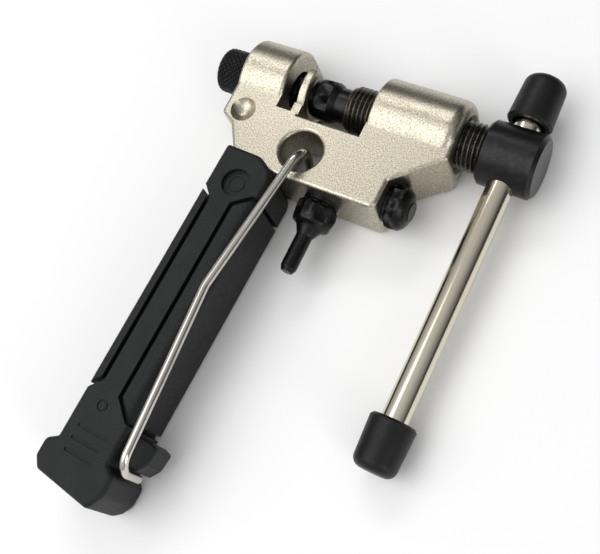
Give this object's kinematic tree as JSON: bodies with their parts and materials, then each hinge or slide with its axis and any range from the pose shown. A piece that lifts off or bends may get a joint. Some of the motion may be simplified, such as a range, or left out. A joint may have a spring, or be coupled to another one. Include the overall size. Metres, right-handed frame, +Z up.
{
  "type": "chain tool",
  "caption": "Bicycle chain tool: cast body on a moulded handle, T-handled screw that drives a pin through a chain, adjustable anvil, spare tips and a wire chain hook",
  "frame": {"origin": "middle of the footprint, on the surface the tool lies on", "axes": "+X along the main screw from the anvil to the T-bar, -Y down the handle, +Z up from the tool's back to its front"},
  "size_m": [0.0716, 0.112, 0.0171],
  "materials": {
    "cast_nickel": "satin nickel-plated casting with a fine grain",
    "black_oxide": "black oxide, satin",
    "bar_nickel": "polished nickel plate",
    "cap_plastic": "black, satin with a fine grain",
    "handle_nylon": "black glass-filled nylon, fine grain",
    "grip_nylon": "black glass-filled nylon, coarser grain",
    "wire_chrome": "bright chrome plate"
  },
  "bodies": {
    "body": {"tool_body": "cast_nickel", "handle_core": "handle_nylon", "grip_pad_right": "grip_nylon", "grip_strip_left": "handle_nylon", "handle_plug": "handle_nylon", "handle_screw": "black_oxide", "handle_dowel": "black_oxide"},
    "anvil_carrier": {"anvil_face": "black_oxide"},
    "anvil_adjuster": {"anvil_screw": "black_oxide", "anvil_knob": "black_oxide"},
    "driver": {"driver_pin": "black_oxide"},
    "spindle": {"main_screw": "black_oxide", "screw_head": "black_oxide", "driver_collar": "black_oxide"},
    "t_handle": {"t_bar": "bar_nickel", "t_bar_cap_upper": "cap_plastic", "t_bar_cap_lower": "cap_plastic"},
    "long_tip": {"spare_tip_collar": "black_oxide", "spare_tip_pin": "black_oxide", "spare_tip_washer": "black_oxide"},
    "dome_tip": {"short_tip": "black_oxide", "short_tip_washer": "black_oxide"},
    "hook": {"chain_hook": "wire_chrome"}
  },
  "joints": [
    {"name": "driver_feed", "type": "slide", "parent": "body", "child": "driver", "axis": [1, 0, 0], "range_m": [-0.00081, 0.01201]},
    {"name": "main_screw_turn", "type": "hinge", "parent": "driver", "child": "spindle", "pos_m": [0.0118, 0.03794, 0.007], "axis": [1, 0, 0], "range_deg": [-288, 4320]},
    {"name": "t_bar_slide", "type": "slide", "parent": "spindle", "child": "t_handle", "axis": [0, 0.9995, 0.0314], "range_m": [-0.001, 0.0475]},
    {"name": "anvil_feed", "type": "slide", "parent": "body", "child": "anvil_carrier", "axis": [1, 0, 0], "range_m": [-0.00301, 0.00081]},
    {"name": "anvil_turn", "type": "hinge", "parent": "anvil_carrier", "child": "anvil_adjuster", "pos_m": [-0.0242, 0.03794, 0.007], "axis": [1, 0, 0], "range_deg": [-1080, 288]},
    {"name": "long_tip_draw", "type": "slide", "parent": "body", "child": "long_tip", "axis": [0, -1, 0], "range_m": [0, 0.02]},
    {"name": "dome_tip_draw", "type": "slide", "parent": "body", "child": "dome_tip", "axis": [1, 0, 0], "range_m": [0, 0.008]},
    {"name": "hook_lift", "type": "slide", "parent": "body", "child": "hook", "axis": [0, 0, 1], "range_m": [0, 0.03]}
  ],
  "couplings": [
    {"joint": "driver_feed", "follows": "main_screw_turn", "m_per_rad": 0.00015915},
    {"joint": "anvil_feed", "follows": "anvil_turn", "m_per_rad": 0.00015915}
  ]
}
